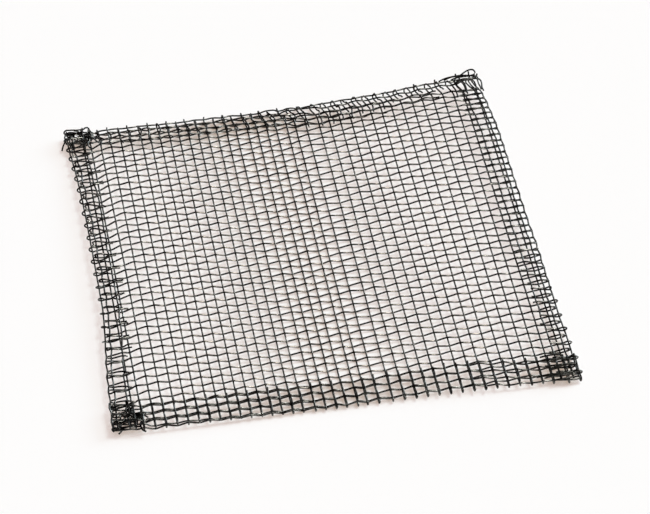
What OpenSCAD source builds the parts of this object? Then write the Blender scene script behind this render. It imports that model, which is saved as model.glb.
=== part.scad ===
// Wire gauze: a square of plain woven iron wire with its four edges folded over into hems.
// Millimetres, +Z up. The origin is under the middle of the sheet, on the surface it lies on.
// The side hems (left and right) are folded first, and the end hems (near and far) go over
// them, so that a corner holds four layers. Each modelled wire stands for about four real ones.

/* [Sheet] */
// Finished width from the left fold to the right fold
gauze_w = 127; // [100:1:150]
// Finished depth from the near fold to the far fold
gauze_d = 127; // [100:1:150]
// Height of the left and right folds above the middle of the sheet, which curls up
side_rise = 2.6; // [0:0.1:5]

/* [Weave] */
// Openings between the two side hems
columns = 9; // [5:1:9]
// Openings between the two end hems
rows = 9; // [5:1:9]
// Thickness of a modelled wire, which is square in section
wire_t = 0.65; // [0.5:0.05:1]
// Height by which a wire swings above and below the middle of its layer
crimp = 0.15; // [0.05:0.01:0.2]

/* [Hems] */
// Width of each side hem, from its fold to its last wire
side_hem = 7.5; // [6:0.5:12]
// Width of each end hem, from its fold to its last wire
end_hem = 9; // [6:0.5:12]
// Clear space between two layers where their wires stand highest
layer_gap = 0.05; // [0.02:0.01:0.2]
// Length by which the cut ends of the wires stand past the last wire of a hem
cut_end = 1.5; // [0.5:0.1:3]
// Depth by which a corner's pressed layers sink into the wires above and below them
corner_press = 0.1; // [0.05:0.05:0.3]

/* [Hidden] */

bend_steps = 6;
layer = wire_t + 2 * crimp + layer_gap;
half_t = wire_t / 2;
bend_reach = half_t / cos(90 / bend_steps);
fold_x = gauze_w / 2 - bend_reach;
fold_y = gauze_d / 2 - bend_reach;
line_x = [for (i = [0:columns]) (i / columns - 0.5) * (gauze_w - 2 * side_hem)];
line_y = [for (j = [0:rows]) (j / rows - 0.5) * (gauze_d - 2 * end_hem)];
lowest_x = min([for (x = line_x) abs(x)]);
floor_z = half_t + crimp - curl(lowest_x);
climb_x = line_x[columns] - cut_end - wire_t;
mid_x = (line_x[columns] + fold_x) / 2;
mid_y = (line_y[rows] + fold_y) / 2;
press_t = layer - wire_t + 2 * corner_press;

// Height of the curled sheet at a place across it
function curl(x) = side_rise * pow(2 * x / gauze_w, 2);

// Which wire is on top where column line i meets row line j: 1 for the long wire, -1 for the cross wire
function over(i, j) = (i + j) % 2 == 0 ? 1 : -1;

// A wire's way round the fold at its positive end, as [place, height] from its lower run to its
// cut end. It leaves height a, turns at the fold and comes back at height b over the last wire.
function turn(fold, last, a, b, swing) =
    let (r = abs(b - a) / 2)
    concat(
        [for (s = [0:bend_steps])
            let (t = 180 * s / bend_steps)
            [fold - r * (1 - sin(t)), (a + b) / 2 - (b - a) / 2 * cos(t)]],
        [[last, b + swing], [last - cut_end, b]]);

// The same way at the negative end, from the cut end to the lower run
function turn_back(fold, last, a, b, swing) =
    let (way = turn(fold, last, a, b, swing))
    [for (k = [len(way) - 1:-1:0]) [-way[k][0], way[k][1]]];

// The direction of the path from point k to the next one, as an angle
function heading(path, k) =
    let (step = path[k + 1] - path[k]) atan2(step[1], step[0]);

// The point beside point k of the path, at a distance to its left, mitred where the path turns
function beside(path, k, distance) =
    let (before = heading(path, max(k - 1, 0)),
         after = heading(path, min(k, len(path) - 2)),
         bend = ((after - before + 540) % 360 - 180) / 2,
         along = before + bend)
    path[k] + distance / cos(bend) * [-sin(along), cos(along)];

// A wire along a path of [place, height] in the XZ plane, with cut ends
module wire(path) {
    rotate([90, 0, 0])
        linear_extrude(height = wire_t, center = true)
            polygon(concat(
                [for (k = [0:len(path) - 1]) beside(path, k, half_t)],
                [for (k = [len(path) - 1:-1:0]) beside(path, k, -half_t)]));
}

// A wire that lies along Y at the given x; its heights are above the curled sheet
module long_wire(x, path) {
    translate([x, 0, floor_z + curl(x)])
        rotate([0, 0, 90])
            wire(path);
}

// A wire that lies across the curled sheet at the given y
module cross_wire(y, path) {
    translate([0, y, floor_z])
        wire([for (p = path) [p[0], p[1] + curl(p[0])]]);
}

// Long wire i of the sheet, with its ends folded to the given height of the end hems
module sheet_long_wire(i, top) {
    long_wire(line_x[i], concat(
        turn_back(fold_y, line_y[rows], 0, top, -crimp * over(i, 0)),
        [for (j = [0:rows]) [line_y[j], crimp * over(i, j)]],
        turn(fold_y, line_y[rows], 0, top, -crimp * over(i, rows))));
}

// Cross wire j of the sheet, with its ends folded over as part of the side hems
module sheet_cross_wire(j) {
    cross_wire(line_y[j], concat(
        turn_back(fold_x, line_x[columns], 0, layer, crimp * over(0, j)),
        [for (i = [0:columns]) [line_x[i], -crimp * over(i, j)]],
        turn(fold_x, line_x[columns], 0, layer, crimp * over(columns, j))));
}

// The two long wires of a side hem: the one in the fold, and the last one of the folded layer
module side_hem_wires(side) {
    i = side > 0 ? columns : 0;
    long_wire(side * fold_x, concat(
        turn_back(fold_y - layer / 2, line_y[rows], layer / 2, 2.5 * layer, 0),
        turn(fold_y - layer / 2, line_y[rows], layer / 2, 2.5 * layer, 0)));
    long_wire(line_x[i], concat(
        turn_back(fold_y - layer, line_y[rows], layer, 2 * layer, crimp * over(i, 0)),
        [for (j = [0:rows]) [line_y[j], layer - crimp * over(i, j)]],
        turn(fold_y - layer, line_y[rows], layer, 2 * layer, crimp * over(i, rows))));
}

// The way of an end hem's cross wire between its two folds: low over the field, and high over
// the side hems, where it stays high until it has passed their cut ends
function climb(low, high, j, swing) = concat(
    [[line_x[0], high + swing * over(0, j)], [-climb_x, high]],
    [for (i = [1:columns - 1]) [line_x[i], low + swing * over(i, j)]],
    [[climb_x, high], [line_x[columns], high + swing * over(columns, j)]]);

// The two cross wires of an end hem: the one in the fold, and the last one of the folded layer
module end_hem_wires(end) {
    j = end > 0 ? rows : 0;
    cross_wire(end * fold_y, concat(
        [[-fold_x, 1.5 * layer]],
        climb(0.5 * layer, 1.5 * layer, j, 0),
        [[fold_x, 1.5 * layer]]));
    cross_wire(line_y[j], concat(
        turn_back(fold_x, line_x[columns], 3 * layer, 2 * layer, -crimp * over(0, j)),
        climb(layer, 3 * layer, j, crimp),
        turn(fold_x, line_x[columns], 3 * layer, 2 * layer, -crimp * over(columns, j))));
}

// The short wires that cross inside a corner, in its two lower and its two upper layers
module corner_wires(side, end) {
    mirror([0, end > 0 ? 0 : 1, 0])
        long_wire(side * mid_x, concat(
            [[line_y[rows] - cut_end, 0]],
            turn(fold_y, line_y[rows], 0, 3 * layer, 0)));
    mirror([side > 0 ? 0 : 1, 0, 0])
        for (heights = [[0, layer], [3 * layer, 2 * layer]])
            cross_wire(end * mid_y, concat(
                [[line_x[columns] - cut_end, heights[0]]],
                turn(fold_x, line_x[columns], heights[0], heights[1], 0)));
}

// The two middle layers of a corner, pressed into one close web between the wires
module corner_web(side, end) {
    deep = fold_y - line_y[rows];
    hull()
        for (x = [line_x[columns], fold_x])
            translate([side * x, end * (fold_y - deep / 2), floor_z + curl(x) + 1.5 * layer])
                cube([half_t, deep, press_t], center = true);
}

module wire_gauze() {
    color("#3b3834")
    union() {
        for (i = [0:columns])
            sheet_long_wire(i, (i == 0 || i == columns ? 3 : 1) * layer);
        for (j = [0:rows])
            sheet_cross_wire(j);
        for (side = [-1, 1])
            side_hem_wires(side);
        for (end = [-1, 1])
            end_hem_wires(end);
        for (side = [-1, 1], end = [-1, 1]) {
            corner_wires(side, end);
            corner_web(side, end);
        }
    }
}

wire_gauze();
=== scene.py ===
"""Wire gauze: a square of plain woven iron wire whose four edges are folded over into hems.

The long wires run along Y and the cross wires along X. Every size in the weave is in
millimetres until a wire's points are placed, in metres.
"""

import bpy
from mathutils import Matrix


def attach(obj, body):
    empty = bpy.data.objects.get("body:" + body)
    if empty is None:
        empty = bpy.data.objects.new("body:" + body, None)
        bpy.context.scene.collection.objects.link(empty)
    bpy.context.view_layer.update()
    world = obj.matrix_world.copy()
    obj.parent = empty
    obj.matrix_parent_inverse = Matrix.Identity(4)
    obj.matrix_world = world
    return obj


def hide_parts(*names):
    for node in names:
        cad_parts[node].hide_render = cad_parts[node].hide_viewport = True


bl_info = {
    "name": "Wire gauze",
    "version": (1, 0, 0),
    "blender": (4, 5, 0),
    "location": "3D View > Sidebar > Gauze",
    "description": "Weaves a square of iron wire gauze with folded hems, on a pale floor",
    "category": "Mesh",
}

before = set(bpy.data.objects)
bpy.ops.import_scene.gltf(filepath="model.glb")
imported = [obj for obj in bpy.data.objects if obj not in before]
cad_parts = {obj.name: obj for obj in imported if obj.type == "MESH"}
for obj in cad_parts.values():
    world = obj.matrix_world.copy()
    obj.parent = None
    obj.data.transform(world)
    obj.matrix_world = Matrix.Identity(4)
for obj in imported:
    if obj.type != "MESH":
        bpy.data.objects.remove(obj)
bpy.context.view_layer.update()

import math

import bpy
from mathutils import Matrix, Vector

NODE = "wire_gauze"
MM = 0.001
HALF_SIDE = 63.5  # millimetres, of the finished square
LIFT = 0.6  # millimetres, from the floor to the middle of the lowest layer
IMAGE_WIDTH = 650  # pixels, of an image 514 pixels high

# The wires of a family are numbered from the fold at its low end. The folded ones past it have
# negative numbers, and those past the other fold go on from LAST_LONG or LAST_CROSS.
LAST_LONG = 41
LAST_CROSS = 48
FOLDED_LONG = 2
FOLDED_NEAR = 4
FOLDED_FAR = 3

# Mean distance from wire to wire in the field, in millimetres.
COLUMN_PITCH = 3.09
ROW_PITCH = 2.69
# How far the long and the cross wires stand out and in by turns at the side folds.
LONG_LOOPS = 0.05
CROSS_LOOPS = 0.45
# Rings of points along one wire of each kind.
LONG_RINGS = 262
CROSS_RINGS = 222
TANGLE_RINGS = 24

# Uneven gaps in the weave, in millimetres: the wire before the gap, and how much wider it is.
LONG_GAPS = (
    (0.0, 0.9), (1.0, -0.9), (17.0, 0.54), (22.0, -0.66), (24.0, 0.68),
    (38.0, -0.3), (39.0, 1.0), (40.0, -0.7),
)
CROSS_GAPS = ((19.0, -0.27),)

# Loose ends at the far right, far left and near right corners, as points in millimetres.
LOOSE_ENDS = (
    ((50.5, 64.5, 2.8), (52.0, 64.5, 3.8), (55.0, 64.0, 4.6), (58.0, 64.0, 4.8), (62.0, 63.0, 4.4)),
    ((52.0, 64.0, 3.4), (54.5, 64.5, 4.6), (57.5, 63.0, 4.6), (60.0, 63.5, 5.0), (62.0, 62.5, 4.2)),
    ((54.0, 63.5, 3.6), (57.0, 64.5, 4.4), (60.0, 63.0, 4.2), (61.5, 64.0, 4.6)),
    ((57.0, 64.0, 4.6), (58.5, 64.5, 5.4), (60.0, 65.0, 5.9), (61.5, 64.5, 5.9), (61.5, 63.5, 5.4)),
    ((42.5, 62.0, 2.2), (42.5, 63.5, 4.0)),
    ((49.0, 63.0, 3.0), (49.0, 63.5, 4.6)),
    ((55.5, 63.0, 4.4), (55.5, 64.0, 5.6)),
    ((59.5, 63.0, 4.6), (59.5, 64.0, 5.9)),
    ((61.5, 62.0, 4.4), (62.0, 63.0, 5.4)),
    ((-61.0, 61.0, 3.4), (-63.5, 60.0, 3.4), (-65.0, 58.5, 2.0), (-65.5, 57.0, 0.8)),
    ((54.5, -56.5, 2.8), (58.0, -56.0, 3.2), (61.0, -57.0, 3.0)),
    ((51.0, -58.0, 2.6), (54.0, -58.5, 3.2), (58.0, -58.0, 3.4), (61.5, -58.5, 3.0)),
    ((55.0, -60.5, 3.2), (58.0, -61.0, 3.4), (61.0, -60.5, 3.4), (63.5, -61.0, 3.0)),
    ((52.0, -63.5, 2.4), (56.0, -64.0, 3.0), (60.0, -63.5, 3.2), (62.5, -64.0, 2.8)),
    ((54.0, -64.5, 2.6), (58.0, -64.0, 3.2), (62.0, -64.5, 2.8)),
    ((56.0, -65.5, 2.4), (60.0, -65.5, 2.8), (63.5, -65.0, 2.2)),
)
# Tangles of short wires where a corner's four layers are bent together, in millimetres: name,
# number of wires, middle of the lowest ones, half width and half depth, height.
TANGLES = (
    ("far_left", 14, (-59.5, 59.0, 2.0), (2.8, 2.6), 2.2),
    ("near_left", 19, (-59.8, -57.0, 1.4), (3.2, 3.4), 1.5),
)


# ---------------------------------------------------------------- numbers in a node tree

class Field:
    """A number in a node tree, which Python's own signs add, multiply and so on."""

    def __init__(self, tree, socket):
        self.tree = tree
        self.socket = socket

    def math(self, operation, *others):
        """A Math node over this number and the others."""
        node = self.tree.nodes.new("ShaderNodeMath")
        node.operation = operation
        for socket, value in zip(node.inputs, (self,) + others):
            plug(self.tree, value, socket)
        return Field(self.tree, node.outputs[0])

    def __add__(self, other):
        return self.math("ADD", other)

    __radd__ = __add__

    def __sub__(self, other):
        return self.math("SUBTRACT", other)

    def __rsub__(self, other):
        return self.math("MULTIPLY", -1.0).math("ADD", other)

    def __mul__(self, other):
        return self.math("MULTIPLY", other)

    __rmul__ = __mul__

    def __truediv__(self, other):
        return self.math("DIVIDE", other)

    def __neg__(self):
        return self.math("MULTIPLY", -1.0)

    def __abs__(self):
        return self.math("ABSOLUTE")

    def cos(self):
        return self.math("COSINE")

    def sin(self):
        return self.math("SINE")

    def least(self, other):
        return self.math("MINIMUM", other)

    def most(self, other):
        return self.math("MAXIMUM", other)

    def held(self, low, high):
        """This number, kept between low and high."""
        return self.most(low).least(high)

    def above(self, other):
        """1 where this number is greater than the other, and 0 elsewhere."""
        return self.math("GREATER_THAN", other)

    def ramp(self, start, end):
        """A smooth step from 0 at start to 1 at end, either of which may be the greater."""
        t = ((self - start) / (end - start)).held(0.0, 1.0)
        return t * t * (3.0 - 2.0 * t)

    def toward(self, other, share):
        """This number blended with the other by a share of 0 to 1."""
        return self + (other - self) * share


def plug(tree, value, socket):
    """Links a field to a socket, or writes a plain number there."""
    if isinstance(value, Field):
        tree.links.new(value.socket, socket)
    else:
        socket.default_value = value


def vector(tree, x, y, z):
    """A vector's socket from three numbers."""
    node = tree.nodes.new("ShaderNodeCombineXYZ")
    for socket, value in zip(node.inputs, (x, y, z)):
        plug(tree, value, socket)
    return node.outputs[0]


def drift(tree, a, b, seed):
    """Smooth noise between about -1 and 1 over two numbers."""
    node = tree.nodes.new("ShaderNodeTexNoise")
    node.noise_dimensions = "3D"
    tree.links.new(vector(tree, a, b, seed), node.inputs["Vector"])
    node.inputs["Scale"].default_value = 1.0
    node.inputs["Detail"].default_value = 0.0
    return (Field(tree, node.outputs[0]) - 0.5) * 3.0


def chance(tree, number, seed):
    """A random number between 0 and 1 for a whole number."""
    node = tree.nodes.new("ShaderNodeTexWhiteNoise")
    node.noise_dimensions = "2D"
    tree.links.new(vector(tree, number, seed, 0.0), node.inputs["Vector"])
    return Field(tree, node.outputs["Value"])


# ---------------------------------------------------------------- the lie of the sheet

class Sheet:
    """The lie of the folded sheet, from a place counted in wires, u and v, to a point.

    A point is first laid out flat, across and along from the middle, then carried round the side
    folds, then round the end folds, and last lifted by the curl. Each draw of noise has a seed of
    its own, which is a number added to the sheet's seed.
    """

    def __init__(self, tree, inputs):
        self.tree = tree
        self.inputs = inputs
        self.seed = inputs["Seed"]
        self.layer = inputs["Layer Spacing"]
        self.bend = inputs["Layer Spacing"] * 0.5

    def shifted(self, number, gaps):
        """What the uneven gaps before a wire add to its place."""
        return sum((number.ramp(wire, wire + 1.0) * size for wire, size in gaps), number * 0.0)

    def long_pitch(self, u):
        """Where long wire u lies across the flat sheet; the weave is wider at the right."""
        c = u - LAST_LONG / 2
        spread = 0.36 * (u - 21.0).most(0.0) - 0.184 * (7.0 - u).most(0.0)
        return 2.861 * c - 3.06 + spread + self.shifted(u, LONG_GAPS)

    def cross_pitch(self, v):
        """Where cross wire v lies along the flat sheet; the rows are closer at the far end."""
        c = v - 24.0
        far = ((v - 38.0) / 10.0).most(0.0)
        closer = far * far * (2.15 * far - 5.56)
        return 3.1 + 2.687 * c - 0.0011 * c * c + closer + self.shifted(v, CROSS_GAPS)

    def left_edge(self, y):
        """How far out the left fold lies: it bows out to its ends, and more at the near one."""
        corner = (y / 54.0) * (y / 54.0)
        return 62.25 + 1.05 * (corner * corner).least(1.1) + 1.9 * y.ramp(-10.0, -44.0)

    def right_edge(self, y):
        """How far out the right fold lies: it steps out to the near end and in at the far one."""
        far = 0.8 * y.ramp(38.0, 56.0) + 0.9 * y.ramp(52.0, 61.0)
        return 63.45 + 0.3 * y.ramp(0.0, -12.0) + 0.3 * y.ramp(-40.0, -50.0) - far

    def near_edge(self, x):
        """How far out the near fold lies: it runs out to the right."""
        return 62.25 + 0.022 * (x + 54.0) + 0.45 * x.ramp(15.0, 45.0) + 0.8 * x.ramp(54.0, 62.0)

    def far_edge(self, x):
        """How far out the far fold lies: it stands out at its corners, and most at the right."""
        corners = 0.9 * x.ramp(34.0, 48.0) + 0.3 * x.ramp(-45.0, -60.0)
        return 62.95 - 0.15 * x.ramp(-20.0, -5.0) + corners

    def curl(self, x, y):
        """Height of the sheet's lowest layer, which rises towards the two side hems and is level
        at its outer ends. It is lowest a little left of the middle."""
        a = ((x + 1.7) / HALF_SIDE).held(-0.93, 0.93)
        b = (y - 1.35) / HALF_SIDE
        aa = a * a
        return (
            aa * (5.66 + 0.48 * b - 1.55 * b * b - 3.63 * aa - 0.37 * a)
            + a * b * (0.61 + 0.56 * b)
        )

    def corner(self, x):
        """1 over the side hems, which lie inside the end hems, and 0 between them."""
        return abs(x).ramp(54.5, 57.5)

    def wave(self, u, v):
        """The crimp's wave: 1 where a long wire is on top and -1 where a cross wire is."""
        angle = (u + v + 1.0) * math.pi
        return (angle.cos() + 0.08 * (3.0 * angle).cos()) / 1.08

    def scatter(self, u, v):
        """How far a crossing has slipped from its place, across and along."""
        across = 0.10 * drift(self.tree, u * 0.77, v * 0.05, self.seed)
        along = 0.04 * drift(self.tree, u * 0.11, v * 0.9, self.seed + 7.3)
        return across, along

    def flat_across(self, u, v):
        """The unfolded distance across at long wire u, its side as -1 or 1, and how far out the
        fold lies there. The last wire before the fold moves into it, and the first one after it
        and the others follow at their own pitch."""
        y = self.cross_pitch(v.held(0.0, LAST_CROSS))
        right = u.above(LAST_LONG / 2)
        edge = self.left_edge(y).toward(self.right_edge(y), right)
        w = (-u).most(u - LAST_LONG)
        inner = self.long_pitch(u.held(1.0, LAST_LONG - 1.0)) * (right * 2.0 - 1.0)
        fold = edge + 0.32 * self.bend
        first = edge + 1.14 * self.bend + 1.4 + 0.4 * right
        pitch = 3.2 + 0.2 * right
        flat = (
            inner
            + (w + 1.0).held(0.0, 1.0) * (fold - inner)
            + w.held(0.0, 1.0) * (first - fold)
            + (w - 1.0).most(0.0) * pitch
        )
        return flat, right * 2.0 - 1.0, edge

    def flat_near(self, v, x, radius):
        """The unfolded distance towards the near hem, and how far out its fold lies. Its folded
        rows lie beside the first rows of the sheet, closer to them at the left than the right."""
        edge = self.near_edge(x)
        w = -v
        inner = -self.cross_pitch(v.most(0.0))
        beside = 0.65 - 0.3 * x.ramp(5.0, -20.0) + 2.4 * x.ramp(27.0, 52.0) + 0.9 * self.corner(x)
        twin = beside - self.cross_pitch((w - 1.0).most(0.0))
        top = edge + 1.14 * radius + (edge - twin).most(0.3)
        return inner + w.held(0.0, 1.0) * (top - inner), edge

    def flat_far(self, v, x, radius):
        """The unfolded distance towards the far hem, and how far out its fold lies. From the
        middle to the right the fold slips from one row to the row before it."""
        edge = self.far_edge(x)
        slip = x.ramp(-6.0, 14.0)
        w = v - LAST_CROSS + slip * (v - (LAST_CROSS - 2.0)).held(0.0, 1.0)
        inner = self.cross_pitch(v.least(LAST_CROSS - 1.0))
        fold = edge + 0.1 * radius
        first = edge + 1.14 * radius + 2.4
        flat = (
            inner
            + (w + 1.0).held(0.0, 1.0) * (fold - inner)
            + w.held(0.0, 1.0) * (first - fold)
            + (w - 1.0).most(0.0) * 2.3
        )
        return flat, edge

    def flat_along(self, v, x, radius):
        """The unfolded distance along at cross wire v, its end as -1 or 1, and how far out the
        fold lies there."""
        far = v.above(LAST_CROSS / 2)
        near_flat, near_edge = self.flat_near(v, x, radius)
        far_flat, far_edge = self.flat_far(v, x, radius)
        return near_flat.toward(far_flat, far), far * 2.0 - 1.0, near_edge.toward(far_edge, far)

    def folded(self, flat, start, radius, height):
        """A distance and a height over the layer, carried round a fold that begins at start."""
        turn = ((flat - start) / radius).held(0.0, math.pi)
        spare = (flat - start - math.pi * radius).most(0.0)
        out = flat.least(start) + (radius - height) * turn.sin() - spare
        up = radius - (radius - height) * turn.cos()
        return out, up

    def pairing(self, y, v):
        """1 on every second row and -1 on the others, which change over towards the near end."""
        return (v * math.pi).cos() * (1.0 - 2.0 * y.ramp(-26.0, -34.0))

    def slant(self, y, v, inside, turned, right):
        """How far along the cross wires have slipped in the side hems, at a distance inside the
        fold. turned is 0 before the fold and 1 after it. At the left they lean over the hem, and
        its folded ends lie in pairs; over most of the right the folded layer has slipped whole."""
        left_base = -(0.9 + 0.9 * y.ramp(-5.0, 18.0)) * inside.ramp(11.0, 4.5)
        left_fold = 2.7 * y.ramp(-40.0, 25.0) - 1.8
        tips = turned * abs(inside).ramp(2.5, 7.5)
        pairs = self.pairing(y, v) * (0.28 * inside.ramp(5.0, 1.0) + 0.95 * tips)
        right_fold = -0.95 * y.ramp(-20.0, -8.0)
        return (left_base + turned * left_fold - pairs).toward(turned * right_fold, right)

    def sway(self, x, inside):
        """How far across the long wires lean, to the left, where they go round the far fold."""
        return -(0.3 + 1.3 * x.ramp(-22.0, 4.0)) * abs(inside).ramp(6.0, 0.5)

    def place(self, u, v, height, loops):
        """The point at long wire u and cross wire v, at a height over the layer, and a mark that
        is 1 on the hems and 0 between them. loops is how far the wires stand out and in by turns
        where they go round the side folds."""
        across, along = self.scatter(u, v)
        y = self.cross_pitch(v.held(0.0, LAST_CROSS))
        flat, side, edge = self.flat_across(u, v)
        right = (side + 1.0) * 0.5
        turned = (flat - edge + self.bend).ramp(0.0, 3.2 * self.bend)
        ring = -loops * 4.0 * turned * (1.0 - turned) * self.pairing(y, v)
        across = across + (0.2 + 0.12 * (1.0 - right)) * turned * drift(
            self.tree, u * 1.7, v * 0.7, self.seed + 31.0)
        out, up = self.folded(flat + across * side, edge - self.bend, self.bend, height)
        x = (out + ring) * side
        along = along + self.slant(y, v, edge - flat, turned, right)
        along = along + (0.2 + 0.15 * (1.0 - right)) * turned * drift(
            self.tree, u * 0.6, v * 1.7, self.seed + 43.0)

        # Past an end fold the long wires lie apart from those under them, and more loosely.
        radius = self.bend.toward(self.stack(v), self.corner(x))
        flat, end, edge = self.flat_along(v, x, radius)
        far = (end + 1.0) * 0.5
        over = (flat - edge + radius).ramp(0.0, 3.2 * radius)
        loose = over * (0.2 + 0.5 * far * x.ramp(35.0, 10.0))
        apart = 0.1 * (1.0 - far) + 0.8 * far * x.ramp(-5.0, 14.0)
        x = x + self.sway(x, edge - flat) * far + over * apart + loose * drift(
            self.tree, u * 1.7, v * 0.6, self.seed + 57.0)
        along = along + loose * drift(self.tree, u * 0.7, v * 1.7, self.seed + 71.0)
        out, up = self.folded(flat + along * end, edge - radius, radius, up)
        y = out * end
        z = up + self.curl(x, y) + LIFT
        hem = abs(x).ramp(52.0, 56.0).most(abs(y).ramp(52.0, 56.0))
        return (x, y, z), hem

    def stack(self, v):
        """Half the height of a corner's four layers: pressed at the near end, loose at the far."""
        return (0.95 + 0.5 * v.above(LAST_CROSS / 2)) * self.layer


# ---------------------------------------------------------------- geometry node trees

# A tree's named inputs: label, kind of socket, default. Lengths are in millimetres.
WIRE_SIZES = (
    ("Wires", "NodeSocketInt", 46),
    ("Rings", "NodeSocketInt", LONG_RINGS),
    ("Sides", "NodeSocketInt", 8),
    ("Wire Diameter", "NodeSocketFloat", 0.5),
    ("Seed", "NodeSocketFloat", 3.0),
)
WEAVE_SIZES = WIRE_SIZES + (
    ("Crimp", "NodeSocketFloat", 0.08),
    ("Layer Spacing", "NodeSocketFloat", 0.9),
    ("Bend Rings", "NodeSocketFloat", 4.8),
)
TANGLE_SIZES = WIRE_SIZES + (
    ("Middle X", "NodeSocketFloat", 0.0),
    ("Middle Y", "NodeSocketFloat", 0.0),
    ("Middle Z", "NodeSocketFloat", 2.0),
    ("Half Width", "NodeSocketFloat", 3.0),
    ("Half Depth", "NodeSocketFloat", 3.0),
    ("Height", "NodeSocketFloat", 2.0),
)


def new_tree(name, sizes):
    """A geometry node tree with named inputs; returns it and its inputs as fields."""
    tree = bpy.data.node_groups.new(name, "GeometryNodeTree")
    tree.interface.new_socket("Geometry", in_out="OUTPUT", socket_type="NodeSocketGeometry")
    for label, kind, default in sizes:
        socket = tree.interface.new_socket(label, in_out="INPUT", socket_type=kind)
        socket.default_value = default
    node = tree.nodes.new("NodeGroupInput")
    inputs = {label: Field(tree, node.outputs[label]) for label, kind, default in sizes}
    return tree, inputs


def wires_from(tree, inputs, points_of, material):
    """Draws one tube for each wire of a family. points_of takes the wire's number and the share
    of its length, and gives its point there and the three numbers that its finish reads: which
    wire it is, how far along it, and 1 on the hems."""
    def add(kind, **values):
        node = tree.nodes.new(kind)
        for key, value in values.items():
            setattr(node, key, value)
        return node

    line = add("GeometryNodeCurvePrimitiveLine")
    line.inputs["End"].default_value = (0.0, 1.0, 0.0)
    resample = add("GeometryNodeResampleCurve")
    tree.links.new(line.outputs[0], resample.inputs["Curve"])
    plug(tree, inputs["Rings"], resample.inputs["Count"])
    copies = add("GeometryNodeDuplicateElements", domain="SPLINE")
    tree.links.new(resample.outputs[0], copies.inputs["Geometry"])
    plug(tree, inputs["Wires"], copies.inputs["Amount"])

    number = Field(tree, copies.outputs["Duplicate Index"])
    share = Field(tree, add("GeometryNodeSplineParameter").outputs["Factor"])
    (x, y, z), marks = points_of(number, share)

    move = add("GeometryNodeSetPosition")
    tree.links.new(copies.outputs["Geometry"], move.inputs["Geometry"])
    tree.links.new(vector(tree, x * MM, y * MM, z * MM), move.inputs["Position"])
    mark = add("GeometryNodeStoreNamedAttribute", data_type="FLOAT_VECTOR", domain="POINT")
    mark.inputs["Name"].default_value = "weave"
    tree.links.new(move.outputs[0], mark.inputs["Geometry"])
    tree.links.new(vector(tree, *marks), mark.inputs["Value"])

    ring = add("GeometryNodeCurvePrimitiveCircle")
    plug(tree, inputs["Sides"], ring.inputs["Resolution"])
    plug(tree, inputs["Wire Diameter"] * (0.5 * MM), ring.inputs["Radius"])
    tube = add("GeometryNodeCurveToMesh")
    tree.links.new(mark.outputs[0], tube.inputs["Curve"])
    tree.links.new(ring.outputs[0], tube.inputs["Profile Curve"])
    tube.inputs["Fill Caps"].default_value = True
    real = add("GeometryNodeRealizeInstances")
    tree.links.new(tube.outputs[0], real.inputs[0])
    finish = add("GeometryNodeSetMaterial")
    finish.inputs["Material"].default_value = material
    tree.links.new(real.outputs[0], finish.inputs["Geometry"])
    tree.links.new(finish.outputs[0], add("NodeGroupOutput").inputs[0])


def paced(first, last, share, bends, extra):
    """The place along a wire, in crossings, at a share of its rings from first to last. Each
    bend, given by where it starts and ends, gets extra times as many rings as the same length
    elsewhere."""
    lengths = [end - start for start, end in bends]
    whole = last - first
    for length in lengths:
        whole = whole + (extra - 1.0) * length
    step = share * whole
    place = first + step
    before = 0.0
    for (start, end), length in zip(bends, lengths):
        slow = (step - (start - first) - before).held(0.0, extra * length)
        place = place - (extra - 1.0) / extra * slow
        before = before + (extra - 1.0) * length
    return place


def long_wire_tree(material):
    """The tree of the long wires, which run from the near hem to the far hem."""
    tree, inputs = new_tree("Long Wires", WEAVE_SIZES)
    sheet = Sheet(tree, inputs)

    def points_of(number, share):
        # The far cut ends are shorter towards the right, and most where rows are missing.
        u = number - FOLDED_LONG
        missing = u.ramp(31.0, 33.0) * (1.0 - u.ramp(37.0, 38.0))
        first = -FOLDED_NEAR - 0.3 - 0.3 * chance(tree, u, 3.1)
        last = LAST_CROSS + FOLDED_FAR + 0.3 + 0.4 * chance(tree, u, 5.7)
        last = last - u.ramp(26.0, 30.0) - 2.0 * missing
        bends = ((-0.75, 0.1), (LAST_CROSS - 0.1, LAST_CROSS + 0.75))
        v = paced(first, last, share, bends, inputs["Bend Rings"])
        w = (-v).most(v - LAST_CROSS)
        in_fold = (1.0 - abs(w)).held(0.0, 1.0)
        crimp = inputs["Crimp"] + (0.22 + 0.1 * v.above(LAST_CROSS / 2)) * in_fold
        point, hem = sheet.place(u, v, crimp * sheet.wave(u, v), LONG_LOOPS)
        return point, (u, v * ROW_PITCH, hem)

    wires_from(tree, inputs, points_of, material)
    return tree


def cross_wire_tree(material):
    """The tree of the cross wires, which run from the left hem to the right hem."""
    tree, inputs = new_tree("Cross Wires", WEAVE_SIZES)
    sheet = Sheet(tree, inputs)

    def points_of(number, share):
        # The far hem's folded rows stop short of the right side, and the last of them most. The
        # right cut ends are shorter over the near rows.
        v = number - FOLDED_NEAR
        first = -FOLDED_LONG - 0.4 - 0.5 * chance(tree, v, 11.9)
        last = LAST_LONG + FOLDED_LONG + 0.45 + 0.4 * chance(tree, v, 17.3)
        past = v - LAST_CROSS
        last = last - 11.5 * past.held(0.0, 1.0) - 5.0 * (past - 2.0).held(0.0, 1.0)
        last = last - 0.5 * v.ramp(18.0, 11.0) * v.ramp(-1.0, 1.0)
        bends = ((-0.75, 0.3), (LAST_LONG - 0.3, LAST_LONG + 0.75))
        u = paced(first, last, share, bends, inputs["Bend Rings"])
        height = -inputs["Crimp"] * sheet.wave(u, v)
        point, hem = sheet.place(u, v, height, CROSS_LOOPS)
        return point, (v + 100.0, u * COLUMN_PITCH, hem)

    wires_from(tree, inputs, points_of, material)
    return tree


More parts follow.
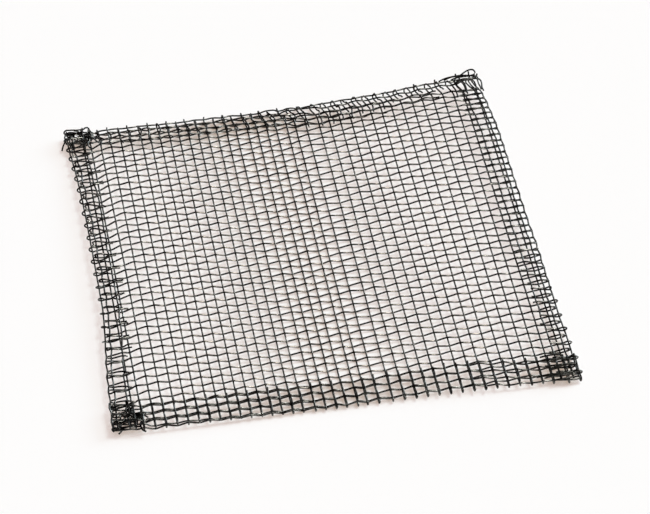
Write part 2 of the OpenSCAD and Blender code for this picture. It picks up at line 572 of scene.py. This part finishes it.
def tangle_tree(material):
    """The tree of a corner's tangle: short bent wires, one over the other."""
    tree, inputs = new_tree("Tangle", TANGLE_SIZES)

    def points_of(number, share):
        # Each wire is part of a circle, with its radius, direction, turn and middle by chance.
        def pick(seed, low, high):
            return low + (high - low) * chance(tree, number, seed)

        radius = pick(1.3, 1.0, 3.6)
        facing = pick(2.7, 0.0, 2.0 * math.pi)
        angle = facing + (share - 0.5) * pick(3.1, 1.4, 3.2)
        x = inputs["Middle X"] + inputs["Half Width"] * pick(4.9, -1.0, 1.0)
        y = inputs["Middle Y"] + inputs["Half Depth"] * pick(5.3, -1.0, 1.0)
        x = x + radius * (angle.cos() - facing.cos()) * 0.8
        y = y + radius * (angle.sin() - facing.sin()) * 0.8
        z = inputs["Middle Z"] + inputs["Height"] * pick(6.1, 0.0, 1.0)
        z = z + 0.35 * drift(tree, share * 2.5, number * 3.1, inputs["Seed"])
        return (x, y, z), (number + 300.0, share * 6.0, share * 0.0 + 1.0)

    wires_from(tree, inputs, points_of, material)
    return tree


def loose_ends_from(paths, diameter, material):
    """One piece from the loose ends, each a smooth wire through its points."""
    curve = bpy.data.curves.new("loose_ends", "CURVE")
    curve.dimensions = "3D"
    curve.bevel_depth = diameter / 2
    curve.bevel_resolution = 2
    curve.use_fill_caps = True
    for path in paths:
        spline = curve.splines.new("NURBS")
        spline.points.add(len(path) - 1)
        for point, place in zip(spline.points, path):
            point.co = (*(MM * value for value in place), 1.0)
        spline.order_u = min(4, len(path))
        spline.use_endpoint_u = True
        spline.resolution_u = 6
    drawn = bpy.data.objects.new("loose_ends_drawn", curve)
    bpy.context.scene.collection.objects.link(drawn)
    graph = bpy.context.evaluated_depsgraph_get()
    mesh = bpy.data.meshes.new_from_object(drawn.evaluated_get(graph), depsgraph=graph)
    bpy.data.objects.remove(drawn)
    bpy.data.curves.remove(curve)
    mark = mesh.attributes.new("weave", "FLOAT_VECTOR", "POINT")
    for place, item in zip(mesh.vertices, mark.data):
        item.vector = (400.0, place.co.x / MM, 1.0)
    mesh.materials.clear()
    mesh.materials.append(material)
    piece = bpy.data.objects.new("loose_ends", mesh)
    bpy.context.scene.collection.objects.link(piece)
    return placed(piece)


def placed(piece):
    """Names the mesh after its piece, smooths it, and lets it stand for the gauze's node."""
    mesh = piece.data
    mesh.name = piece.name
    if not mesh.polygons:
        raise RuntimeError(piece.name + " came out empty")
    mesh.shade_smooth()
    mesh.set_sharp_from_angle(angle=math.radians(75.0))
    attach(piece, "root")
    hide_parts(NODE)
    return piece


def piece_from(tree, name, values):
    """Runs a tree on a new object, and keeps the result as its plain mesh."""
    base = bpy.data.meshes.new(name)
    piece = bpy.data.objects.new(name, base)
    bpy.context.scene.collection.objects.link(piece)
    modifier = piece.modifiers.new("Weave", "NODES")
    modifier.node_group = tree
    for item in tree.interface.items_tree:
        if item.in_out == "INPUT" and item.name in values:
            modifier[item.identifier] = values[item.name]
    graph = bpy.context.evaluated_depsgraph_get()
    mesh = bpy.data.meshes.new_from_object(piece.evaluated_get(graph), depsgraph=graph)
    piece.modifiers.clear()
    piece.data = mesh
    bpy.data.meshes.remove(base)
    return placed(piece)


# ---------------------------------------------------------------- finishes

def shader_node(tree, kind, **inputs):
    """A shader node with its plain inputs set by name."""
    node = tree.nodes.new(kind)
    for key, value in inputs.items():
        node.inputs[key.replace("_", " ")].default_value = value
    return node


def ranged(tree, value, **limits):
    """A socket's value, carried from one range to another and kept inside it."""
    node = shader_node(tree, "ShaderNodeMapRange", **limits)
    tree.links.new(value, node.inputs["Value"])
    return node.outputs["Result"]


def blended(tree, share, first, second):
    """The socket of two colours blended by a share; a colour is a socket or plain numbers."""
    node = tree.nodes.new("ShaderNodeMix")
    node.data_type = "RGBA"
    tree.links.new(share, node.inputs["Factor"])
    for label, colour in (("A", first), ("B", second)):
        if isinstance(colour, bpy.types.NodeSocket):
            tree.links.new(colour, node.inputs[label])
        else:
            node.inputs[label].default_value = (*colour, 1.0)
    return node.outputs["Result"]


def blend_surface(tree, share, first, second):
    """Gives the material one shader blended with another by a share."""
    mix = tree.nodes.new("ShaderNodeMixShader")
    for socket, source in zip(mix.inputs, (share, first.outputs[0], second.outputs[0])):
        tree.links.new(source, socket)
    tree.links.new(mix.outputs[0], tree.nodes["Material Output"].inputs["Surface"])


def iron_wire_material(finish):
    """Dark annealed iron wire: mottled oxide over bare iron, with drawing marks along each wire. On
    the hems the dark oxide is deepened and the bare spots are made bluer and brighter: partly a
    heavier oxide from bending and handling after the weaving, and partly painted shade between the
    folded layers and painted bluish glints."""
    material = bpy.data.materials.new("iron_wire_annealed")
    material.use_nodes = True
    tree = material.node_tree
    shader = tree.nodes["Principled BSDF"]
    link = tree.links.new
    place = tree.nodes.new("ShaderNodeTexCoord")
    weave = tree.nodes.new("ShaderNodeAttribute")
    weave.attribute_name = "weave"

    oxide = shader_node(tree, "ShaderNodeTexNoise", Scale=420.0, Detail=4.0, Roughness=0.6)
    link(place.outputs["Object"], oxide.inputs["Vector"])
    colour = tree.nodes.new("ShaderNodeValToRGB")
    colour.color_ramp.elements[0].position = 0.37
    colour.color_ramp.elements[0].color = (*finish.oxide_colour, 1.0)
    colour.color_ramp.elements[1].position = 0.73
    colour.color_ramp.elements[1].color = (*finish.bare_colour, 1.0)
    link(oxide.outputs["Fac"], colour.inputs["Fac"])

    stretch = tree.nodes.new("ShaderNodeVectorMath")
    stretch.operation = "MULTIPLY"
    stretch.inputs[1].default_value = (7.3, 0.45, 0.0)
    link(weave.outputs["Vector"], stretch.inputs[0])
    streak = shader_node(tree, "ShaderNodeTexNoise", Scale=1.0, Detail=3.0, Roughness=0.7)
    link(stretch.outputs[0], streak.inputs["Vector"])
    worn = ranged(tree, streak.outputs["Fac"], From_Min=0.3, From_Max=0.7, To_Min=0.72, To_Max=1.28)
    marked = tree.nodes.new("ShaderNodeVectorMath")
    marked.operation = "SCALE"
    link(colour.outputs["Color"], marked.inputs[0])
    link(worn, marked.inputs["Scale"])

    # Painted shade and glints on the hems: the gamma deepens the dark oxide as painted shade
    # between the layers, and the bluish tint brightens the bare spots as painted glints of the
    # bluish lights, over a partly heavier real oxide.
    part = tree.nodes.new("ShaderNodeSeparateXYZ")
    link(weave.outputs["Vector"], part.inputs[0])
    hem_shade_contrast = shader_node(tree, "ShaderNodeGamma", Gamma=1.5)
    link(marked.outputs[0], hem_shade_contrast.inputs["Color"])
    hem_shade_and_glint = tree.nodes.new("ShaderNodeVectorMath")
    hem_shade_and_glint.operation = "MULTIPLY"
    hem_shade_and_glint.inputs[1].default_value = finish.hem_shade_and_glint_tint
    link(hem_shade_contrast.outputs[0], hem_shade_and_glint.inputs[0])
    base = blended(tree, part.outputs["Z"], marked.outputs[0], hem_shade_and_glint.outputs[0])
    link(base, shader.inputs["Base Color"])

    rough = ranged(tree, streak.outputs["Fac"],
                   To_Min=finish.roughness + 0.12, To_Max=finish.roughness - 0.10)
    link(rough, shader.inputs["Roughness"])
    grain = shader_node(tree, "ShaderNodeTexNoise", Scale=5200.0, Detail=2.0)
    link(place.outputs["Object"], grain.inputs["Vector"])
    bump = shader_node(tree, "ShaderNodeBump", Strength=0.15, Distance=0.00002)
    link(grain.outputs["Fac"], bump.inputs["Height"])
    link(bump.outputs["Normal"], shader.inputs["Normal"])
    shader.inputs["Metallic"].default_value = finish.metallic
    return material


def seen_directly(tree):
    """1 for a ray of the camera's own, or one that a glossy or clear surface sends on."""
    ray = tree.nodes.new("ShaderNodeLightPath")
    seen = ray.outputs["Is Camera Ray"]
    for other in ("Is Glossy Ray", "Is Transmission Ray"):
        most = tree.nodes.new("ShaderNodeMath")
        most.operation = "MAXIMUM"
        tree.links.new(seen, most.inputs[0])
        tree.links.new(ray.outputs[other], most.inputs[1])
        seen = most.outputs[0]
    return seen


def floor_material(setting):
    """A plain pale matt floor that keeps the shadows. Seen directly, part of its brightness is an
    even glow, which close under the wires turns to painted shade, gathered on the side that the
    lights are on."""
    material = bpy.data.materials.new("pale_floor")
    material.use_nodes = True
    tree = material.node_tree
    shader = tree.nodes["Principled BSDF"]
    shader.inputs["Base Color"].default_value = (*setting.floor_colour, 1.0)
    shader.inputs["Roughness"].default_value = 0.9
    shader.inputs["Specular IOR Level"].default_value = 0.0
    glow = shader_node(tree, "ShaderNodeEmission", Strength=1.0)
    # Painted shade: ambient occlusion, taken about a normal that leans towards the lights, blends
    # the glow into the shade colour close under the wires.
    painted_shade_occlusion = shader_node(tree, "ShaderNodeAmbientOcclusion", Distance=0.005)
    painted_shade_occlusion.samples = 8
    tree.links.new(vector(tree, 0.55, 0.12, 0.83), painted_shade_occlusion.inputs["Normal"])
    clear = ranged(tree, painted_shade_occlusion.outputs["AO"], From_Min=0.32, From_Max=0.62)
    painted_shade_glow = blended(tree, clear, setting.shade_colour, setting.glow_colour)
    tree.links.new(painted_shade_glow, glow.inputs["Color"])
    share = tree.nodes.new("ShaderNodeMath")
    share.operation = "MULTIPLY"
    share.inputs[1].default_value = setting.floor_glow
    tree.links.new(seen_directly(tree), share.inputs[0])
    blend_surface(tree, share.outputs[0], shader, glow)
    return material


def backdrop_material():
    """Plain white for the rays that see it directly, and clear for all the others."""
    material = bpy.data.materials.new("white_backdrop")
    material.use_nodes = True
    tree = material.node_tree
    tree.nodes.remove(tree.nodes["Principled BSDF"])
    glow = shader_node(tree, "ShaderNodeEmission", Strength=1.0, Color=(0.985, 0.98, 0.975, 1.0))
    clear = tree.nodes.new("ShaderNodeBsdfTransparent")
    blend_surface(tree, seen_directly(tree), clear, glow)
    return material


# ---------------------------------------------------------------- settings

class GauzeWeave(bpy.types.PropertyGroup):
    """Sizes of the weave and its hems."""

    wire_diameter: bpy.props.FloatProperty(
        name="Wire Diameter", description="Diameter of the round iron wire", default=0.0005,
        min=0.0002, max=0.0006, precision=5, subtype="DISTANCE", unit="LENGTH")
    long_crimp: bpy.props.FloatProperty(
        name="Long Crimp", description="Swing of a long wire above and below its layer",
        default=0.00008, min=0.0, max=0.0003, precision=5, subtype="DISTANCE", unit="LENGTH")
    cross_crimp: bpy.props.FloatProperty(
        name="Cross Crimp", description="Swing of a cross wire above and below its layer",
        default=0.00032, min=0.0, max=0.0005, precision=5, subtype="DISTANCE", unit="LENGTH")
    layer_spacing: bpy.props.FloatProperty(
        name="Layer Spacing", description="Height from one layer of a hem to the next",
        default=0.0009, min=0.0006, max=0.0012, precision=5, subtype="DISTANCE", unit="LENGTH")
    sides: bpy.props.IntProperty(
        name="Sides", description="Faces round one wire", default=8, min=5, max=12)
    seed: bpy.props.IntProperty(
        name="Seed", description="Another number slips the wires in another way", default=3)


class GauzeFinish(bpy.types.PropertyGroup):
    """Colours and gloss of the iron wire."""

    oxide_colour: bpy.props.FloatVectorProperty(
        name="Oxide", description="Colour of the dark oxide", default=(0.032, 0.029, 0.026),
        min=0.0, max=1.0, subtype="COLOR")
    bare_colour: bpy.props.FloatVectorProperty(
        name="Bare Iron", description="Colour where the oxide is thin",
        default=(0.40, 0.372, 0.335), min=0.0, max=1.0, subtype="COLOR")
    # Tint for the hems: partly heavier oxide, partly painted shade between the layers and painted
    # bluish glints on the bare spots.
    hem_shade_and_glint_tint: bpy.props.FloatVectorProperty(
        name="Hem Tint", description="Tint of the hems, which are darker with brighter bare spots",
        default=(1.50, 1.68, 1.84), min=0.0, max=3.0, subtype="COLOR")
    roughness: bpy.props.FloatProperty(
        name="Roughness", description="Mean roughness of the wire", default=0.20, min=0.1, max=0.9,
        subtype="FACTOR")
    metallic: bpy.props.FloatProperty(
        name="Metallic", description="Share of the surface that shows as metal", default=1.0,
        min=0.0, max=1.0, subtype="FACTOR")


class GauzeStage(bpy.types.PropertyGroup):
    """Floor, light and camera."""

    floor_colour: bpy.props.FloatVectorProperty(
        name="Floor", description="Colour of the floor", default=(0.72, 0.92, 1.0),
        min=0.0, max=1.0, subtype="COLOR")
    glow_colour: bpy.props.FloatVectorProperty(
        name="Glow Colour", description="Colour of the floor where no shadow takes it away",
        default=(1.275, 1.09, 1.02), min=0.0, max=2.0, subtype="COLOR")
    shade_colour: bpy.props.FloatVectorProperty(
        name="Shade Colour", description="What is left of the glow close under the wires",
        default=(0.72, 0.54, 0.42), min=0.0, max=2.0, subtype="COLOR")
    floor_glow: bpy.props.FloatProperty(
        name="Floor Glow", description="Share of the floor's brightness that no shadow takes away",
        default=0.54, min=0.0, max=1.0, subtype="FACTOR")
    window_colour: bpy.props.FloatVectorProperty(
        name="Window Colour", description="Colour of the low light from the right",
        default=(0.90, 1.0, 1.08), min=0.0, max=2.0, subtype="COLOR")
    window_strength: bpy.props.FloatProperty(
        name="Window Strength", description="Strength of the low light", default=1.6, min=0.0)
    window_elevation: bpy.props.FloatProperty(
        name="Window Elevation", description="Height of the low light over the floor",
        default=math.radians(27.0), subtype="ANGLE", unit="ROTATION")
    window_bearing: bpy.props.FloatProperty(
        name="Window Bearing", description="Direction of the low light, from +X towards +Y",
        default=math.radians(14.0), subtype="ANGLE", unit="ROTATION")
    window_spread: bpy.props.FloatProperty(
        name="Window Spread", description="Angle that the low light fills",
        default=math.radians(32.0), subtype="ANGLE", unit="ROTATION")
    ceiling_colour: bpy.props.FloatVectorProperty(
        name="Ceiling Colour", description="Colour of the high light", default=(1.02, 1.0, 0.95),
        min=0.0, max=2.0, subtype="COLOR")
    ceiling_strength: bpy.props.FloatProperty(
        name="Ceiling Strength", description="Strength of the high light", default=2.1, min=0.0)
    ceiling_elevation: bpy.props.FloatProperty(
        name="Ceiling Elevation", description="Height of the high light over the floor",
        default=math.radians(60.0), subtype="ANGLE", unit="ROTATION")
    ceiling_bearing: bpy.props.FloatProperty(
        name="Ceiling Bearing", description="Direction of the high light, from +X towards +Y",
        default=math.radians(12.0), subtype="ANGLE", unit="ROTATION")
    ceiling_spread: bpy.props.FloatProperty(
        name="Ceiling Spread", description="Angle that the high light fills",
        default=math.radians(24.0), subtype="ANGLE", unit="ROTATION")
    glint_colour: bpy.props.FloatVectorProperty(
        name="Glint Colour", description="Colour of the light that puts a glint on the long wires",
        default=(0.90, 1.0, 1.08), min=0.0, max=2.0, subtype="COLOR")
    glint_strength: bpy.props.FloatProperty(
        name="Glint Strength", description="Strength of the glint's light", default=0.8, min=0.0)
    glint_elevation: bpy.props.FloatProperty(
        name="Glint Elevation", description="Height of the glint's light over the floor",
        default=math.radians(17.0), subtype="ANGLE", unit="ROTATION")
    glint_bearing: bpy.props.FloatProperty(
        name="Glint Bearing", description="Direction of the glint's light, from +X towards +Y",
        default=math.radians(49.0), subtype="ANGLE", unit="ROTATION")
    glint_spread: bpy.props.FloatProperty(
        name="Glint Spread", description="Angle that the glint's light fills",
        default=math.radians(26.0), subtype="ANGLE", unit="ROTATION")
    fill_colour: bpy.props.FloatVectorProperty(
        name="Fill", description="Colour of the light from all round",
        default=(0.04, 0.04, 0.04), min=0.0, max=1.0, subtype="COLOR")


def wire_values(weave, count, rings):
    """The inputs that every tree has, with lengths in millimetres."""
    return {
        "Wires": count,
        "Rings": rings,
        "Sides": weave.sides,
        "Wire Diameter": weave.wire_diameter / MM,
        "Seed": float(weave.seed),
    }


def weave_values(weave, count, rings, crimp):
    """The inputs of the long or the cross wires' tree, with lengths in millimetres."""
    return wire_values(weave, count, rings) | {
        "Crimp": crimp / MM,
        "Layer Spacing": weave.layer_spacing / MM,
    }


def wire_material(context):
    """The material of the wires, made once."""
    made = bpy.data.materials.get("iron_wire_annealed")
    return made or iron_wire_material(context.scene.gauze_finish)


# ---------------------------------------------------------------- operators

class GAUZE_OT_long_wires(bpy.types.Operator):
    """Weave in the long wires, with their ends folded over into the end hems"""

    bl_idname = "gauze.long_wires"
    bl_label = "Long Wires"

    def execute(self, context):
        weave = context.scene.gauze_weave
        count = LAST_LONG + 1 + 2 * FOLDED_LONG
        values = weave_values(weave, count, LONG_RINGS, weave.long_crimp)
        piece_from(long_wire_tree(wire_material(context)), "long_wires", values)
        return {"FINISHED"}


class GAUZE_OT_cross_wires(bpy.types.Operator):
    """Weave in the cross wires, with their ends folded over into the side hems"""

    bl_idname = "gauze.cross_wires"
    bl_label = "Cross Wires"

    def execute(self, context):
        weave = context.scene.gauze_weave
        count = LAST_CROSS + 1 + FOLDED_NEAR + FOLDED_FAR
        values = weave_values(weave, count, CROSS_RINGS, weave.cross_crimp)
        piece_from(cross_wire_tree(wire_material(context)), "cross_wires", values)
        return {"FINISHED"}


class GAUZE_OT_loose_ends(bpy.types.Operator):
    """Add the loose ends and the tangles where the corners are bent"""

    bl_idname = "gauze.loose_ends"
    bl_label = "Loose Ends"

    def execute(self, context):
        material = wire_material(context)
        weave = context.scene.gauze_weave
        loose_ends_from(LOOSE_ENDS, weave.wire_diameter, material)
        tree = tangle_tree(material)
        for name, count, middle, reach, height in TANGLES:
            values = wire_values(weave, count, TANGLE_RINGS)
            values.update(zip(("Middle X", "Middle Y", "Middle Z"), middle))
            values.update({"Half Width": reach[0], "Half Depth": reach[1], "Height": height})
            piece_from(tree, "tangle_" + name, values)
        return {"FINISHED"}


class GAUZE_OT_stage(bpy.types.Operator):
    """Lay the pale floor and set the lights and the camera"""

    bl_idname = "gauze.stage"
    bl_label = "Floor, Lights and Camera"

    def execute(self, context):
        setting = context.scene.gauze_stage
        lay_floor(setting)
        raise_backdrop()
        light_scene(context.scene, setting)
        aim_camera(context.scene)
        return {"FINISHED"}


def lay_floor(setting):
    """A wide pale floor, which the gauze lies on."""
    half = 4.0
    corners = [(-half, -half, 0), (half, -half, 0), (half, half, 0), (-half, half, 0)]
    stage_piece("floor", corners, [(0, 1, 2, 3)], floor_material(setting))


def raise_backdrop():
    """A low white wall round the floor, which closes the view over its edge."""
    radius, height, sides = 3.9, 0.46, 24
    turns = [2.0 * math.pi * k / sides for k in range(sides)]
    points = [(radius * math.cos(t), radius * math.sin(t), z) for z in (0.0, height) for t in turns]
    faces = [(k, k + sides, (k + 1) % sides + sides, (k + 1) % sides) for k in range(sides)]
    stage_piece("backdrop", points, faces, backdrop_material())


def stage_piece(name, points, faces, material):
    """A piece of the stage, which isn't part of the gauze."""
    mesh = bpy.data.meshes.new(name)
    mesh.from_pydata(points, [], faces)
    mesh.materials.append(material)
    piece = bpy.data.objects.new(name, mesh)
    bpy.context.scene.collection.objects.link(piece)


def hang_light(scene, name, shadow, colour, strength, elevation, bearing, spread):
    """A soft light, far off in the direction of a height over the floor and a bearing."""
    lamp = bpy.data.lights.new(name, "SUN")
    lamp.use_shadow = shadow
    lamp.energy = strength
    lamp.color = colour
    lamp.angle = spread
    light = bpy.data.objects.new(name, lamp)
    level = math.cos(elevation)
    toward = Vector((level * math.cos(bearing), level * math.sin(bearing), math.sin(elevation)))
    light.rotation_euler = toward.to_track_quat("Z", "Y").to_euler()
    light.location = toward
    scene.collection.objects.link(light)


def light_scene(scene, setting):
    """A low bluish light, a high warm one, a lower bluish one that only puts glints on the wires
    and casts no shadow, and a little light from all round."""
    for name, shadow in (("window", True), ("ceiling", True), ("glint", False)):
        hang_light(scene, name + "_light", shadow, *(
            getattr(setting, name + "_" + part)
            for part in ("colour", "strength", "elevation", "bearing", "spread")))
    world = bpy.data.worlds.new("room")
    world.use_nodes = True
    sky = world.node_tree.nodes["Background"]
    sky.inputs["Color"].default_value = (*setting.fill_colour, 1.0)
    sky.inputs["Strength"].default_value = 1.0
    scene.world = world
    scene.view_settings.view_transform = "Standard"


def aim_camera(scene):
    """The camera, from a lens length in pixels, a target on the sheet and the angles to it."""
    focal = 3290.0
    sensor = 36.0
    target = Vector((0.00349, -0.00295, 0.0006))
    distance = 0.9458
    azimuth, elevation, roll = (math.radians(a) for a in (-9.25, 43.34, -1.16))
    back = Vector((math.sin(azimuth) * math.cos(elevation),
                   -math.cos(azimuth) * math.cos(elevation), math.sin(elevation)))
    right = (-back).cross(Vector((0, 0, 1))).normalized()
    up = right.cross(-back)
    turned_right = right * math.cos(roll) + up * math.sin(roll)
    turned_up = -right * math.sin(roll) + up * math.cos(roll)
    data = bpy.data.cameras.new("camera")
    data.sensor_fit = "HORIZONTAL"
    data.sensor_width = sensor
    data.lens = focal * sensor / IMAGE_WIDTH
    data.clip_start = 0.01
    camera = bpy.data.objects.new("camera", data)
    matrix = Matrix((turned_right, turned_up, back)).transposed().to_4x4()
    matrix.translation = target + back * distance
    camera.matrix_world = matrix
    scene.collection.objects.link(camera)
    scene.camera = camera


class GAUZE_PT_panel(bpy.types.Panel):
    """The gauze's settings and its steps, in the sidebar"""

    bl_idname = "GAUZE_PT_panel"
    bl_label = "Wire Gauze"
    bl_space_type = "VIEW_3D"
    bl_region_type = "UI"
    bl_category = "Gauze"

    def draw(self, context):
        layout = self.layout
        for owner, title in ((context.scene.gauze_weave, "Weave"),
                             (context.scene.gauze_finish, "Finish"),
                             (context.scene.gauze_stage, "Stage")):
            box = layout.box()
            box.label(text=title)
            for name in owner.bl_rna.properties.keys():
                if name not in {"rna_type", "name"}:
                    box.prop(owner, name)
        for operator in OPERATORS:
            layout.operator(operator.bl_idname)


OPERATORS = (GAUZE_OT_stage, GAUZE_OT_long_wires, GAUZE_OT_cross_wires, GAUZE_OT_loose_ends)
SETTINGS = (("gauze_weave", GauzeWeave), ("gauze_finish", GauzeFinish),
            ("gauze_stage", GauzeStage))


def register():
    for name, group in SETTINGS:
        bpy.utils.register_class(group)
        setattr(bpy.types.Scene, name, bpy.props.PointerProperty(type=group))
    for kind in OPERATORS + (GAUZE_PT_panel,):
        bpy.utils.register_class(kind)


def unregister():
    for kind in reversed(OPERATORS + (GAUZE_PT_panel,)):
        bpy.utils.unregister_class(kind)
    for name, group in reversed(SETTINGS):
        delattr(bpy.types.Scene, name)
        bpy.utils.unregister_class(group)


def main():
    register()
    bpy.ops.gauze.stage()
    bpy.ops.gauze.long_wires()
    bpy.ops.gauze.cross_wires()
    bpy.ops.gauze.loose_ends()


if __name__ == "__main__":
    main()
